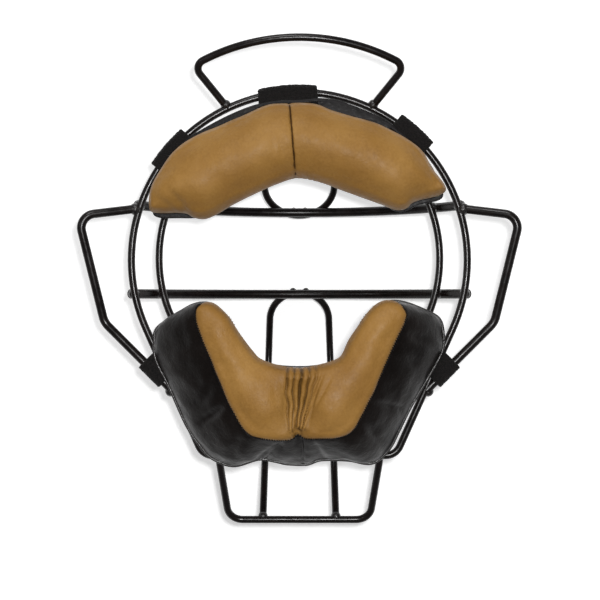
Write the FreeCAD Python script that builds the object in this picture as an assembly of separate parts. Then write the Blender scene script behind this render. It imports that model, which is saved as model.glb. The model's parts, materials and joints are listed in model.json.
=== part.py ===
import FreeCAD, Part
import math
import os

# A wire face mask with two leather pads, as worn by a catcher or a plate umpire.
# Millimetres. X points to the wearer's right, Y points forward out of the mask, Z points up.
# The origin lies in the plane of the main ring, on the centreline, midway between the eye bars.

V = FreeCAD.Vector
FORWARD = V(0, 1, 0)

# Wire gauges
RING_WIRE = 4.8
EYE_WIRE = 6.3
EAR_WIRE = 5.6
TOUCH = 0.04            # air left between two wires that meet at a weld

# Main ring
RING_RADIUS = 107.5
RING_CENTRE_Z = -4.5
RING_FLANK_TURN = 24.2  # degrees that each flank leans inward
RING_BOTTOM_Z = -129.5
RING_CORNER_RADIUS = 10.0

# Inner hoop, which runs on downward as the throat loop
HOOP_RADIUS = 92.2
HOOP_CENTRE_Z = -2.0
HOOP_DEPTH = 18.9
HOOP_FLANK_Z = -23.0    # where the flanks begin to turn inward
HOOP_FLANK_RADIUS = 90.0
HOOP_KNEE = V(54.5, 14.0, -106.0)
HOOP_KNEE_RADIUS = 48.0
HOOP_CROSSING_X = 52.3  # where it passes in front of the ring's bottom bar
HOOP_CROSSING_RADIUS = 24.0
HOOP_CROSSING_DIP = V(0, -0.9, 0.5)     # its corner there lies inside the bend
THROAT_BOTTOM_Z = -175.5
THROAT_DEPTH = 25.0
THROAT_HALF_WIDTH = 46.5
THROAT_CORNER_RADIUS = 10.0

# Eye bars
UPPER_EYE_Z = 31.0
LOWER_EYE_Z = -26.0
EYE_DEPTH = 64.0
EYE_END_TURN = 22.0     # degrees round the ring wire where each end is welded
EYE_OVERRUN = 0.7       # degrees that each end runs past its weld
EYE_STAND_OFF = 0.3     # more air at that weld, because the ring wire crosses at a slant

# Top hoop
TOP_FOOT_X = 45.8
TOP_CORNER_X = 66.6
TOP_CORNER_HEIGHT = 24.2
TOP_CORNER_RADIUS = 6.0
TOP_ARCH_PEAK = 54.0    # where the two sides of the arch would meet, above its feet
TOP_ARCH_RADIUS = 130.0
TOP_LEAN = 0.6          # rearward lean per unit of height

# Brow loop and mouth loop
BROW_HALF_WIDTH = 24.0
BROW_BOTTOM_Z = 29.5
BROW_OVERRUN = 1.5      # how far its tops run up past the inner hoop's centreline
MOUTH_HALF_WIDTH = 20.1
MOUTH_TOP_Z = -25.0
MOUTH_BELLY = V(22.4, 86.0, -80.0)
MOUTH_BELLY_RADIUS = 60.0
LOOP_EASE = 0.2         # leaves a short straight between the two bends of a loop
MOUTH_FOOT_X = 24.2

# Ear guards
EAR_TOP_Z = 28.6
EAR_CORNER = V(139.3, -12.0, 23.0)
EAR_KNEE = V(124.8, 0.0, -44.3)
EAR_FOOT = V(81.3, 0.0, -87.8)
EAR_OVERRUN = 0.5       # how far its top starts outside the ring's centreline
EAR_CORNER_RADIUS = 9.0
EAR_KNEE_RADIUS = 12.0

# Weld beads: radius, and where each lies from the meeting of its two bars
EYE_BEAD = 3.5
HOOP_BEAD = 3.3
HOOP_BEAD_SHIFT = V(1.8, 1.6, 0)
TOP_BEAD = 3.3
TOP_BEAD_SHIFT = V(1.3, -0.6, 2.1)
BROW_TOP_BEAD = 3.3
BROW_TOP_BEAD_SHIFT = V(0, 2.4, 1.0)
BROW_BEAD = 2.1
BROW_BEAD_SHIFT = V(4.0, 3.0, 3.3)
MOUTH_BEAD = 2.4
MOUTH_BEAD_SHIFT = V(4.5, 2.7, 1.2)
MOUTH_FOOT_BEAD = 3.2
MOUTH_FOOT_BEAD_SHIFT = V(0, 1.3, 2.0)
CROSSING_BEAD = 3.3
EAR_TOP_BEAD = 3.9
EAR_TOP_BEAD_SHIFT = V(2.6, -0.5, -0.5)
EAR_FOOT_BEAD = 3.6
EAR_FOOT_BEAD_SHIFT = V(1.2, 1.4, -0.6)

# Pads
PAD_FRONT = -2.9        # plane of the pads' backs, just behind the ring wire
PANEL = 2.2             # thickness of the stiff back panels
PANEL_LIP = 2.0         # how far the forehead panel stands out past its cover
LEATHER = 2.5
FOREHEAD_REAR = -35.0
FOREHEAD_TIP = (90.0, 40.0)
FOREHEAD_HEEL = (91.0, 31.0)
FOREHEAD_TOE = (61.0, 23.5)
FOREHEAD_CROWN = (0.0, 94.0)
FOREHEAD_ARCH = (31.0, 37.5)
FOREHEAD_PEAK = (0.0, 46.0)
CHIN_SEAM = -42.0       # depth of the seam between the chin pad's walls and its face
CHIN_REAR = -47.0
CHIN_ROLL = 4.0         # how far the face's edge rolls inward between those depths
PIPING = 2.4
PIPING_BEND = 1.3

# Hook-and-loop tabs
STRAP = 1.6             # thickness
STRAP_GAP = 0.3         # air between a strap and what it passes
PATCH = 0.8             # thickness of the loop fabric
KNUCKLE_DROP = 1.9      # the sewn half of a tab stops this far behind the fold
STRAP_BEND = 1.2        # size of a strap's corners
FLAP_STEP = 4.2         # length of a flap's slope down to the loop fabric
PATCH_MARGIN = 0.5      # the loop fabric is this much narrower than its strap on each side

# How far inward each part of a tab lies from the centreline of the outermost wire
FOREHEAD_WRAP = 5.0
FOREHEAD_FLAP_REACH = 18.5
FOREHEAD_BASE_REACH = 7.8
FOREHEAD_PATCH_EDGE = 8.0
FOREHEAD_PATCH_LENGTH = 11.5
CHIN_WRAP = 13.2
CHIN_FLAP_REACH = 22.4
CHIN_BASE_REACH = 16.0
CHIN_PATCH_EDGE = 15.5
CHIN_PATCH_LENGTH = 9.0
CHIN_TAB_WIDTH = 18.0
CHIN_TAB_ALONG = 45.0   # from the ear guard's knee toward its foot
CHIN_TAB_OUTWARD = -45.0


def rounded_path(points, radii, closed=False):
    """Straight runs through the points, with a tangent arc of the given radius at each bend."""
    count = len(points)
    bends = range(count) if closed else range(1, count - 1)
    arcs = []
    for i in bends:
        back = (points[i - 1] - points[i]).normalize()
        ahead = (points[(i + 1) % count] - points[i]).normalize()
        turn = math.pi - back.getAngle(ahead)
        reach = radii[i] * math.tan(turn / 2)
        rise = radii[i] / math.cos(turn / 2) - radii[i]
        middle = points[i] + (back + ahead).normalize() * rise
        arcs.append((points[i] + back * reach, middle, points[i] + ahead * reach))
    edges = []
    here = arcs[-1][2] if closed else points[0]
    for start, middle, end in arcs:
        add_run(edges, here, start)
        edges.append(Part.Arc(start, middle, end).toShape())
        here = end
    if not closed:
        add_run(edges, here, points[-1])
    return Part.Wire(edges)


def add_run(edges, start, end):
    """Add a straight edge, unless the two arcs it joins already meet."""
    if start.distanceToPoint(end) > 1e-4:
        edges.append(Part.LineSegment(start, end).toShape())


def rod(path, diameter):
    """A round bar along a path."""
    first = path.OrderedEdges[0]
    start = first.valueAt(first.FirstParameter)
    heading = first.tangentAt(first.FirstParameter)
    profile = Part.Wire(Part.makeCircle(diameter / 2, start, heading))
    return path.makePipeShell([profile], True, False)


def mirrored(point):
    return V(-point.x, point.y, point.z)


def both_sides(right_half):
    """A symmetrical list of points, from the points of its right half."""
    return right_half + [mirrored(p) for p in reversed(right_half)]


def ring_x(z):
    """Half-width of the main ring's round part at a height."""
    return math.sqrt(RING_RADIUS**2 - (z - RING_CENTRE_Z) ** 2)


def hoop_z(x):
    """Height of the inner hoop's arch at a distance from the centreline."""
    return HOOP_CENTRE_Z + math.sqrt(HOOP_RADIUS**2 - x**2)


def biggest(shape):
    return max(shape.Solids, key=lambda solid: solid.Volume)


# ---------------------------------------------------------------- wires


def main_ring():
    turn = math.radians(RING_FLANK_TURN)
    shoulder_z = RING_CENTRE_Z - RING_RADIUS * math.tan(turn / 2)
    corner_x = RING_RADIUS - (shoulder_z - RING_BOTTOM_Z) * math.tan(turn)
    right = [
        V(RING_RADIUS, 0, RING_CENTRE_Z + RING_RADIUS),
        V(RING_RADIUS, 0, shoulder_z),
        V(corner_x, 0, RING_BOTTOM_Z),
    ]
    radii = [RING_RADIUS, RING_RADIUS, RING_CORNER_RADIUS]
    return rod(rounded_path(both_sides(right), radii + radii[::-1], True), RING_WIRE)


def hoop_crossing():
    """Where the inner hoop passes in front of the ring's bottom bar."""
    return V(HOOP_CROSSING_X, RING_WIRE + TOUCH, RING_BOTTOM_Z)


def inner_hoop():
    right = [
        V(HOOP_RADIUS, HOOP_DEPTH, HOOP_CENTRE_Z + HOOP_RADIUS),
        V(HOOP_RADIUS, HOOP_DEPTH, HOOP_FLANK_Z),
        HOOP_KNEE,
        hoop_crossing() + HOOP_CROSSING_DIP,
        V(THROAT_HALF_WIDTH, THROAT_DEPTH, THROAT_BOTTOM_Z),
    ]
    radii = [
        HOOP_RADIUS, HOOP_FLANK_RADIUS, HOOP_KNEE_RADIUS, HOOP_CROSSING_RADIUS, THROAT_CORNER_RADIUS,
    ]
    return rod(rounded_path(both_sides(right), radii + radii[::-1], True), RING_WIRE)


def eye_bar_end(z):
    """Centre of an eye bar's section where it is welded to the outside of the ring wire."""
    reach = (EYE_WIRE + RING_WIRE) / 2 + EYE_STAND_OFF
    turn = math.radians(EYE_END_TURN)
    return V(ring_x(z) + reach * math.sin(turn), reach * math.cos(turn), z)


def eye_bar(z):
    end = eye_bar_end(z)
    rise = EYE_DEPTH - end.y
    radius = (end.x**2 + rise**2) / (2 * rise)
    centre = V(0, EYE_DEPTH - radius, z)
    swing = math.asin(end.x / radius) + math.radians(EYE_OVERRUN)
    tip = centre + V(radius * math.sin(swing), radius * math.cos(swing), 0)
    arc = Part.Arc(mirrored(tip), V(0, EYE_DEPTH, z), tip)
    return rod(Part.Wire([arc.toShape()]), EYE_WIRE)


def top_hoop():
    def leaning(x, height):
        return V(x, -TOP_LEAN * height, ring_z(TOP_FOOT_X) + height)

    corner = leaning(TOP_CORNER_X, TOP_CORNER_HEIGHT)
    points = [
        leaning(TOP_FOOT_X, 0),
        corner,
        leaning(0, TOP_ARCH_PEAK),
        mirrored(corner),
        leaning(-TOP_FOOT_X, 0),
    ]
    radii = [0, TOP_CORNER_RADIUS, TOP_ARCH_RADIUS, TOP_CORNER_RADIUS, 0]
    return rod(rounded_path(points, radii), RING_WIRE)


def brow_loop():
    top_z = hoop_z(BROW_HALF_WIDTH) + BROW_OVERRUN
    top = V(BROW_HALF_WIDTH, HOOP_DEPTH + RING_WIRE + TOUCH, top_z)
    front = EYE_DEPTH + (EYE_WIRE + RING_WIRE) / 2 + TOUCH
    bottom = V(BROW_HALF_WIDTH, front, BROW_BOTTOM_Z)
    points = [top, bottom, mirrored(bottom), mirrored(top)]
    radius = BROW_HALF_WIDTH - LOOP_EASE
    return rod(rounded_path(points, [0, radius, radius, 0]), RING_WIRE)


def mouth_loop():
    front = EYE_DEPTH + (EYE_WIRE + RING_WIRE) / 2 + TOUCH
    foot = V(MOUTH_FOOT_X, THROAT_DEPTH, THROAT_BOTTOM_Z)
    crown = V(MOUTH_HALF_WIDTH, front, MOUTH_TOP_Z)
    right = [foot, MOUTH_BELLY, crown]
    radii = [0, MOUTH_BELLY_RADIUS, MOUTH_HALF_WIDTH - LOOP_EASE]
    return rod(rounded_path(both_sides(right), radii + radii[::-1]), RING_WIRE)


def left_ear_guard():
    start = V(ring_x(EAR_TOP_Z) + EAR_OVERRUN, 0, EAR_TOP_Z)
    points = [mirrored(p) for p in (start, EAR_CORNER, EAR_KNEE, EAR_FOOT)]
    return rod(rounded_path(points, [0, EAR_CORNER_RADIUS, EAR_KNEE_RADIUS, 0]), EAR_WIRE)


def build_wires():
    """All the bars of the cage, each coped where it butts against another."""
    ring = main_ring()
    hoop = inner_hoop()
    upper = eye_bar(UPPER_EYE_Z)
    lower = eye_bar(LOWER_EYE_Z)
    left_guard = biggest(left_ear_guard().cut([ring, upper]))
    return {
        "main_ring": ring,
        "inner_hoop": hoop,
        "upper_eye_bar": upper,
        "lower_eye_bar": lower,
        "top_hoop": biggest(top_hoop().cut(ring)),
        "brow_loop": biggest(brow_loop().cut([hoop, upper])),
        "mouth_loop": biggest(mouth_loop().cut([hoop, lower])),
        "left_ear_guard": left_guard,
        "right_ear_guard": left_guard.mirror(V(0, 0, 0), V(1, 0, 0)),
    }


def weld_points():
    """Middle of each weld on the right-hand side, with the radius of its bead."""
    points = []
    for z in (UPPER_EYE_Z, LOWER_EYE_Z):
        on_ring = V(ring_x(z), 0, z)
        toward = (eye_bar_end(z) - on_ring).normalize()
        points.append((on_ring + toward * (RING_WIRE / 2), EYE_BEAD))
        hoop_x = math.sqrt(HOOP_RADIUS**2 - (z - HOOP_CENTRE_Z) ** 2)
        points.append((V(hoop_x, HOOP_DEPTH, z) + HOOP_BEAD_SHIFT, HOOP_BEAD))
    top_foot = V(TOP_FOOT_X, 0, ring_z(TOP_FOOT_X))
    brow_top = V(BROW_HALF_WIDTH, HOOP_DEPTH, hoop_z(BROW_HALF_WIDTH))
    mouth_foot = V(MOUTH_FOOT_X, THROAT_DEPTH, THROAT_BOTTOM_Z)
    ear_top = V(ring_x(EAR_TOP_Z), 0, EAR_TOP_Z)
    points += [
        (top_foot + TOP_BEAD_SHIFT, TOP_BEAD),
        (brow_top + BROW_TOP_BEAD_SHIFT, BROW_TOP_BEAD),
        (V(0, EYE_DEPTH, BROW_BOTTOM_Z) + BROW_BEAD_SHIFT, BROW_BEAD),
        (V(0, EYE_DEPTH, MOUTH_TOP_Z) + MOUTH_BEAD_SHIFT, MOUTH_BEAD),
        (mouth_foot + MOUTH_FOOT_BEAD_SHIFT, MOUTH_FOOT_BEAD),
        (hoop_crossing() - V(0, RING_WIRE / 2, 0), CROSSING_BEAD),
        (ear_top + EAR_TOP_BEAD_SHIFT, EAR_TOP_BEAD),
        (EAR_FOOT + EAR_FOOT_BEAD_SHIFT, EAR_FOOT_BEAD),
    ]
    return points


def ring_z(x):
    """Height of the main ring's top at a distance from the centreline."""
    return RING_CENTRE_Z + math.sqrt(RING_RADIUS**2 - x**2)


def weld_beads(wires):
    """A bead of weld metal round every joint, filling the angle between the two bars."""
    beads = []
    for centre, radius in weld_points():
        for place in (centre, mirrored(centre)):
            ball = Part.makeSphere(radius, place)
            met = [bar for bar in wires.values() if bar.distToShape(ball)[0] < TOUCH]
            beads.append(biggest(ball.cut(met)))
    return Part.makeCompound(beads)


# ---------------------------------------------------------------- pads


def slab(face, depth):
    """A flat face carried rearward by a depth."""
    return face.extrude(V(0, -depth, 0))


def forehead_outline(grow=0.0):
    """The crescent of the forehead pad in the plane of its back, grown by a margin."""
    corners = (FOREHEAD_TIP, FOREHEAD_HEEL, FOREHEAD_TOE)
    tip, heel, toe = (V(x, PAD_FRONT, z) for x, z in corners)
    curve = (FOREHEAD_CROWN, FOREHEAD_ARCH, FOREHEAD_PEAK)
    crown, middle, peak = (V(x, PAD_FRONT, z) for x, z in curve)
    edges = [
        Part.Arc(mirrored(tip), crown, tip).toShape(),
        Part.LineSegment(tip, heel).toShape(),
        Part.LineSegment(heel, toe).toShape(),
        Part.Arc(toe, middle, peak).toShape(),
        Part.Arc(peak, mirrored(middle), mirrored(toe)).toShape(),
        Part.LineSegment(mirrored(toe), mirrored(heel)).toShape(),
        Part.LineSegment(mirrored(heel), mirrored(tip)).toShape(),
    ]
    outline = Part.Wire(edges)
    return outline.makeOffset2D(grow) if grow else outline


def forehead_pad():
    """Back panel, foam core and the leather cover that wraps its sides and its face."""
    panel = slab(Part.Face(forehead_outline(PANEL_LIP)), PANEL)
    deep = PAD_FRONT - PANEL
    core_face = Part.Face(forehead_outline(-LEATHER))
    foam = slab(core_face, deep - FOREHEAD_REAR - LEATHER)
    foam.translate(V(0, -PANEL, 0))
    whole = slab(Part.Face(forehead_outline()), deep - FOREHEAD_REAR)
    whole.translate(V(0, -PANEL, 0))
    return panel, foam, biggest(whole.cut(foam))


def chin_back_points():
    """Right half of the chin pad's outline in the plane of its back, from the top centre."""
    return [
        (0, -71), (18, -67), (27, -60), (36, -45), (46, -34), (58, -30), (72, -36),
        (88, -44), (91.5, -52), (91.5, -67), (72, -110), (60, -128), (50, -134), (0, -132),
    ]


def chin_face_points():
    """Right half of the chin pad's face, point for point with its back."""
    return [
        (0, -74), (19, -69.5), (27, -64), (35, -50), (44, -38), (53, -32.5), (61, -34),
        (64, -38.5), (62.5, -44), (57.5, -56), (42, -91), (34, -106), (28, -112), (0, -114),
    ]


def whole_outline(half):
    """A closed, symmetrical outline from its right half, whose ends lie on the centreline."""
    return half + [(-x, z) for x, z in half[-2:0:-1]]


def moved_out(outline, distance):
    """The outline with every side moved outward, point for point."""
    moved = []
    count = len(outline)
    for i in range(count):
        before, here, after = outline[i - 1], outline[i], outline[(i + 1) % count]
        first = outward_normal(before, here)
        second = outward_normal(here, after)
        scale = distance / (1 + first[0] * second[0] + first[1] * second[1])
        moved.append((
            here[0] + (first[0] + second[0]) * scale,
            here[1] + (first[1] + second[1]) * scale,
        ))
    return moved


def outward_normal(start, end):
    """Unit normal on the left of a run; the outlines go round clockwise, so it points out."""
    dx, dz = end[0] - start[0], end[1] - start[1]
    length = math.hypot(dx, dz)
    return (-dz / length, dx / length)


def flat_wire(outline, y):
    points = [V(x, y, z) for x, z in outline]
    return Part.makePolygon(points + points[:1])


def between(front, front_y, rear, rear_y):
    """The ruled solid between two outlines at two depths."""
    return Part.makeLoft([flat_wire(front, front_y), flat_wire(rear, rear_y)], True, True)


def chin_pad():
    """Back panel, foam core, sloping side walls and the face sewn over them."""
    back = whole_outline(chin_back_points())
    face = whole_outline(chin_face_points())
    deep = PAD_FRONT - PANEL
    panel = slab(Part.Face(flat_wire(back, PAD_FRONT)), PANEL)
    foam = between(moved_out(back, -LEATHER), deep, moved_out(face, -LEATHER), CHIN_SEAM)
    walls = biggest(between(back, deep, face, CHIN_SEAM).cut(foam))
    cap = between(face, CHIN_SEAM, moved_out(face, -CHIN_ROLL), CHIN_REAR)
    return panel, foam, walls, cap


def chin_piping():
    """The welt round the edge of the chin pad's back panel."""
    outline = moved_out(whole_outline(chin_back_points()), PIPING / 2 + TOUCH)
    centre = PAD_FRONT - PIPING / 2
    points = [V(x, centre, z) for x, z in outline]
    return rod(rounded_path(points, [PIPING_BEND] * len(points), True), PIPING)


# ---------------------------------------------------------------- tabs


class Tab:
    """A strap that wraps the ring, or the ring and an ear guard's foot, and fastens in front."""

    def __init__(self, name, place, outward, width, wire, inner_edge, tip, slack=0.0):
        self.name = name
        self.place = place            # on the centreline of the outermost wire
        self.outward = outward        # degrees from +X toward +Z
        self.width = width
        self.wire = wire / 2
        self.inner_edge = inner_edge  # how far inward the wrapped wires reach
        self.tip = tip                # how far inward the flap reaches
        self.slack = slack            # how loosely the fold passes round the wire

    def outward_direction(self):
        angle = math.radians(self.outward)
        return V(math.cos(angle), 0, math.sin(angle))

    def depth(self):
        """Distance from the wire's centre to the strap behind it or in front of it."""
        return self.wire + STRAP_GAP + STRAP / 2

    def fold(self):
        """Distance from the wire's centre to the fold line, outward."""
        return self.depth() + self.slack

    def strap(self, line, width):
        """A strap of even thickness along a line drawn in (outward, forward)."""
        half = STRAP / 2
        left, right = [], []
        for i, here in enumerate(line):
            first = outward_normal(line[max(i - 1, 0)], line[max(i, 1)])
            second = outward_normal(line[min(i, len(line) - 2)], line[min(i + 1, len(line) - 1)])
            scale = half / (1 + first[0] * second[0] + first[1] * second[1])
            shift = ((first[0] + second[0]) * scale, (first[1] + second[1]) * scale)
            left.append(V(here[0] + shift[0], here[1] + shift[1], -width / 2))
            right.append(V(here[0] - shift[0], here[1] - shift[1], -width / 2))
        ring = left + right[::-1]
        return Part.Face(Part.makePolygon(ring + ring[:1])).extrude(V(0, 0, width))

    def put(self, shape):
        """Carry a shape from (outward, forward, along) to its place on the ring."""
        out = self.outward_direction()
        along = out.cross(FORWARD)
        shape.Placement = FreeCAD.Placement(FreeCAD.Matrix(
            out.x, 0, along.x, self.place.x,
            out.y, 1, along.y, self.place.y,
            out.z, 0, along.z, self.place.z,
            0, 0, 0, 1,
        ))
        return shape

    def base(self, root):
        """The sewn half, from the pad's edge round the rear of the wires to the fold."""
        fold, depth = self.fold(), self.depth()
        line = [
            (-root, -depth),
            (fold - STRAP_BEND, -depth),
            (fold, -depth + STRAP_BEND),
            (fold, -KNUCKLE_DROP),
        ]
        return self.put(self.strap(line, self.width))

    def flap(self):
        """The free half, from the fold over the front of the wires to the loop fabric."""
        fold, depth = self.fold(), self.depth()
        resting = PAD_FRONT + PATCH + STRAP_GAP + STRAP / 2
        line = [
            (fold, 0),
            (fold, depth - STRAP_BEND),
            (fold - STRAP_BEND, depth),
            (-self.inner_edge, depth),
            (-self.inner_edge - FLAP_STEP, resting),
            (-self.tip, resting),
        ]
        knuckle = Part.makeCylinder(STRAP / 2, self.width, V(fold, 0, -self.width / 2), V(0, 0, 1))
        return self.put(biggest(self.strap(line, self.width).fuse(knuckle).removeSplitter()))

    def patch(self, pad_edge, length):
        """The loop fabric sewn to the front of the pad's back panel."""
        width = self.width - 2 * PATCH_MARGIN
        corner = V(-pad_edge - length, PAD_FRONT, -width / 2)
        return self.put(Part.makeBox(length, PATCH, width, corner))


def on_ring(outward):
    """The point of the ring's centreline in a direction from the ring's centre."""
    angle = math.radians(outward)
    return V(RING_RADIUS * math.cos(angle), 0, RING_CENTRE_Z + RING_RADIUS * math.sin(angle))


def forehead_tabs():
    sizes = [
        ("forehead_left_tab", 139.5, 29.0, 1.2),
        ("forehead_centre_tab", 94.0, 38.0, 0.4),
        ("forehead_right_tab", 48.0, 27.0, 2.2),
    ]
    return [
        Tab(
            name, on_ring(outward), outward, width, RING_WIRE,
            FOREHEAD_WRAP, FOREHEAD_FLAP_REACH, slack,
        )
        for name, outward, width, slack in sizes
    ]


def chin_tabs():
    along_foot = (EAR_FOOT - EAR_KNEE).normalize()
    place = EAR_KNEE + along_foot * CHIN_TAB_ALONG
    sides = [
        ("chin_left_tab", mirrored(place), -180.0 - CHIN_TAB_OUTWARD),
        ("chin_right_tab", place, CHIN_TAB_OUTWARD),
    ]
    return [
        Tab(name, spot, outward, CHIN_TAB_WIDTH, EAR_WIRE, CHIN_WRAP, CHIN_FLAP_REACH)
        for name, spot, outward in sides
    ]


# ---------------------------------------------------------------- the whole mask


def build():
    parts = build_wires()
    parts["weld_beads"] = weld_beads(parts)

    panel, foam, cover = forehead_pad()
    parts["forehead_pad_back"] = panel
    parts["forehead_pad_foam"] = foam
    parts["forehead_pad_cover"] = cover

    panel, foam, walls, cap = chin_pad()
    parts["chin_pad_back"] = panel
    parts["chin_pad_foam"] = foam
    parts["chin_pad_walls"] = walls
    parts["chin_pad_face"] = cap
    parts["chin_pad_piping"] = chin_piping()

    for tab in forehead_tabs():
        neighbours = [parts["forehead_pad_back"], parts["forehead_pad_cover"]]
        parts[tab.name + "_base"] = biggest(tab.base(FOREHEAD_BASE_REACH).cut(neighbours))
        parts[tab.name + "_flap"] = tab.flap()
        parts[tab.name + "_loop_patch"] = tab.patch(FOREHEAD_PATCH_EDGE, FOREHEAD_PATCH_LENGTH)
    for tab in chin_tabs():
        neighbours = [parts["chin_pad_back"], parts["chin_pad_walls"], parts["chin_pad_piping"]]
        parts[tab.name + "_base"] = biggest(tab.base(CHIN_BASE_REACH).cut(neighbours))
        parts[tab.name + "_flap"] = tab.flap()
        parts[tab.name + "_loop_patch"] = tab.patch(CHIN_PATCH_EDGE, CHIN_PATCH_LENGTH)
    return parts


def main():
    os.makedirs("parts", exist_ok=True)
    for name, shape in build().items():
        shape.exportStep("parts/" + name + ".step")


main()
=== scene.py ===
import json
import math

import bpy
import numpy as np
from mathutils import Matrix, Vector, noise
from mathutils.geometry import delaunay_2d_cdt


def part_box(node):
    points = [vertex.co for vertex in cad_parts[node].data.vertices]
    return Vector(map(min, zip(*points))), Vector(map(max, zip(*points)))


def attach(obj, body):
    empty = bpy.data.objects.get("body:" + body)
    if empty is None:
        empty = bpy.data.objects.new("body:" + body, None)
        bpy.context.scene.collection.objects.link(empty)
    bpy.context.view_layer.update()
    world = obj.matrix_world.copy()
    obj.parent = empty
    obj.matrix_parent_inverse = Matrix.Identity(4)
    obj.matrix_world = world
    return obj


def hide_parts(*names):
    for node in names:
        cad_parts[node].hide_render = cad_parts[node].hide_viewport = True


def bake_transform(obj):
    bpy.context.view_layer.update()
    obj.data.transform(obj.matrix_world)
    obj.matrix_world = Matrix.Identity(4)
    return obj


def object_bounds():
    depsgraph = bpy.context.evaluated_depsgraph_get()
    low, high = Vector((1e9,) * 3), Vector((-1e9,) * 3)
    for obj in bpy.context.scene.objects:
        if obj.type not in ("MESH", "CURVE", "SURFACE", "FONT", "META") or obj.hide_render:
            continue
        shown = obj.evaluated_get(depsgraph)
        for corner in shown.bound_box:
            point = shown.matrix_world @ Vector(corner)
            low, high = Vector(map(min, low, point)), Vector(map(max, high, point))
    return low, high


# The looks of a wire face mask with two leather pads.
# Shapes are worked out in millimetres and made in metres: X right, Y forward, Z up.

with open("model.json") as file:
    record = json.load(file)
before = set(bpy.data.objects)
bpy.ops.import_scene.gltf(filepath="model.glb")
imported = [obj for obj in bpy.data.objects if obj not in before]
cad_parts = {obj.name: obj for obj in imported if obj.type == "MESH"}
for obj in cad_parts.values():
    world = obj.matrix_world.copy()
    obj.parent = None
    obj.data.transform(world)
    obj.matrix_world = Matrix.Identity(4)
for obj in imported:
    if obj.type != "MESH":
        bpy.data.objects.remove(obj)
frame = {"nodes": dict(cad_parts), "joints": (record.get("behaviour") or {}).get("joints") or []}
CAD_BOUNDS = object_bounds()
MM = 0.001


def reach(node, side, axis):
    """One coordinate of a CAD node's box in millimetres; side 0 is low and 1 is high."""
    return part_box(node)[side][axis] / MM


# Depths, from the CAD
PANEL_FRONT = reach("forehead_pad_back", 1, 1)
PANEL_REAR = reach("forehead_pad_back", 0, 1)
FOREHEAD_FACE = reach("forehead_pad_cover", 0, 1)
CHIN_SEAM = reach("chin_pad_walls", 0, 1)
GROUND = CAD_BOUNDS[1].y / MM + 0.5

# Camera, lens and light
CAMERA_BACK = 700.0
CAMERA_X = 0.4
CAMERA_Z = -30.0
SENSOR = 36.0
PICTURE_WIDTH = 384.0   # what the picture spans in the plane of the ring
GROUND_GLOW = 0.42
GROUND_HALF = 2.5       # half the ground's side, in metres
WORLD_GLOW = 0.2
WAVE_PERIOD = 0.314     # a wave texture's bands repeat at this distance at a scale of 1

# Leather and thread
LEATHER = 2.5
INNER_SEAM_RISE = 17.0  # the tan leather rolls this far down the chin pad's inner side
SEAM_CLEAR = 2.4        # no ordinary point of a pad's face lies this near its middle seam
SEAM_PUCKER = 0.2       # how far the leather stands out between stitches, as half of it
WALL_FOLDS = 1.6        # how strongly the walls' folds show
CHIN_STEP = 0.9         # spacing of the points along the chin pad's outlines
GATHER_POINTS = (0.5, -13, 20, -116, -68)  # spacing where the face is gathered, and that box: x, x, z, z
THREAD = 0.34
STITCH_STEP = 2         # points of the seam from one stitch to the next

# Straps: how far inward the sewn half starts, the flap stays over the wires, and the flap reaches
FOREHEAD_REACH = (7.8, 5.0, 18.5)
CHIN_REACH = (15.0, 13.2, 22.4)
STRAP = 1.6
PATCH = 0.8
FUZZ = 0.22             # the most that the strap's pile stands out or in
FLAP_STEP = 5.2         # from a flap's last point over the wires to where it rests on the pad
STRAP_GAP = 0.3
RING_WIRE = 4.8
EAR_WIRE = 5.6
RING_BOW = 1 / (2 * 107.5)

# The forehead pad's outline at its fullest depth, clockwise from the top centre: (x, z)
FOREHEAD_LOOP = [
    (0.9, 93.6), (12, 92.6), (22, 88.6), (48, 80.4), (67.9, 70.8), (77.5, 63), (84, 52), (91.5, 41),
    (89, 36.3), (72.2, 31.4), (67.5, 27.5), (61, 26.4), (50, 30.4), (27.6, 38.5), (10, 44.8),
    (-2, 46.2), (-15.2, 42.5), (-40, 30.8), (-52, 23.8), (-60, 20.8), (-67.3, 22), (-73, 24.4),
    (-89.5, 24.6), (-93.9, 27.2), (-92.7, 40.7), (-82.8, 57.4), (-71, 68.6), (-50.5, 79.1),
    (-23.3, 90.9), (-11, 93.2),
]
# The forehead pad's stiff back, which shows above the leather on the right: (x, z)
FOREHEAD_PANEL_LOOP = [
    (0, 97.4), (14, 98.4), (29, 95.6), (50, 87), (64, 77.4), (79, 62.4), (87, 50), (90.6, 42),
    (90.2, 34.2), (75, 30.2), (69, 27), (61, 26.6), (50, 33), (27, 41.4), (10, 48), (-2, 49.4),
    (-15, 46), (-40, 34), (-52, 26.6), (-60, 22.6), (-68, 22), (-75, 22), (-89.6, 22.4),
    (-93.6, 27), (-92.6, 41), (-84, 58.4), (-73.4, 71), (-53, 83.6), (-32, 93), (-14, 97),
]
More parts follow.
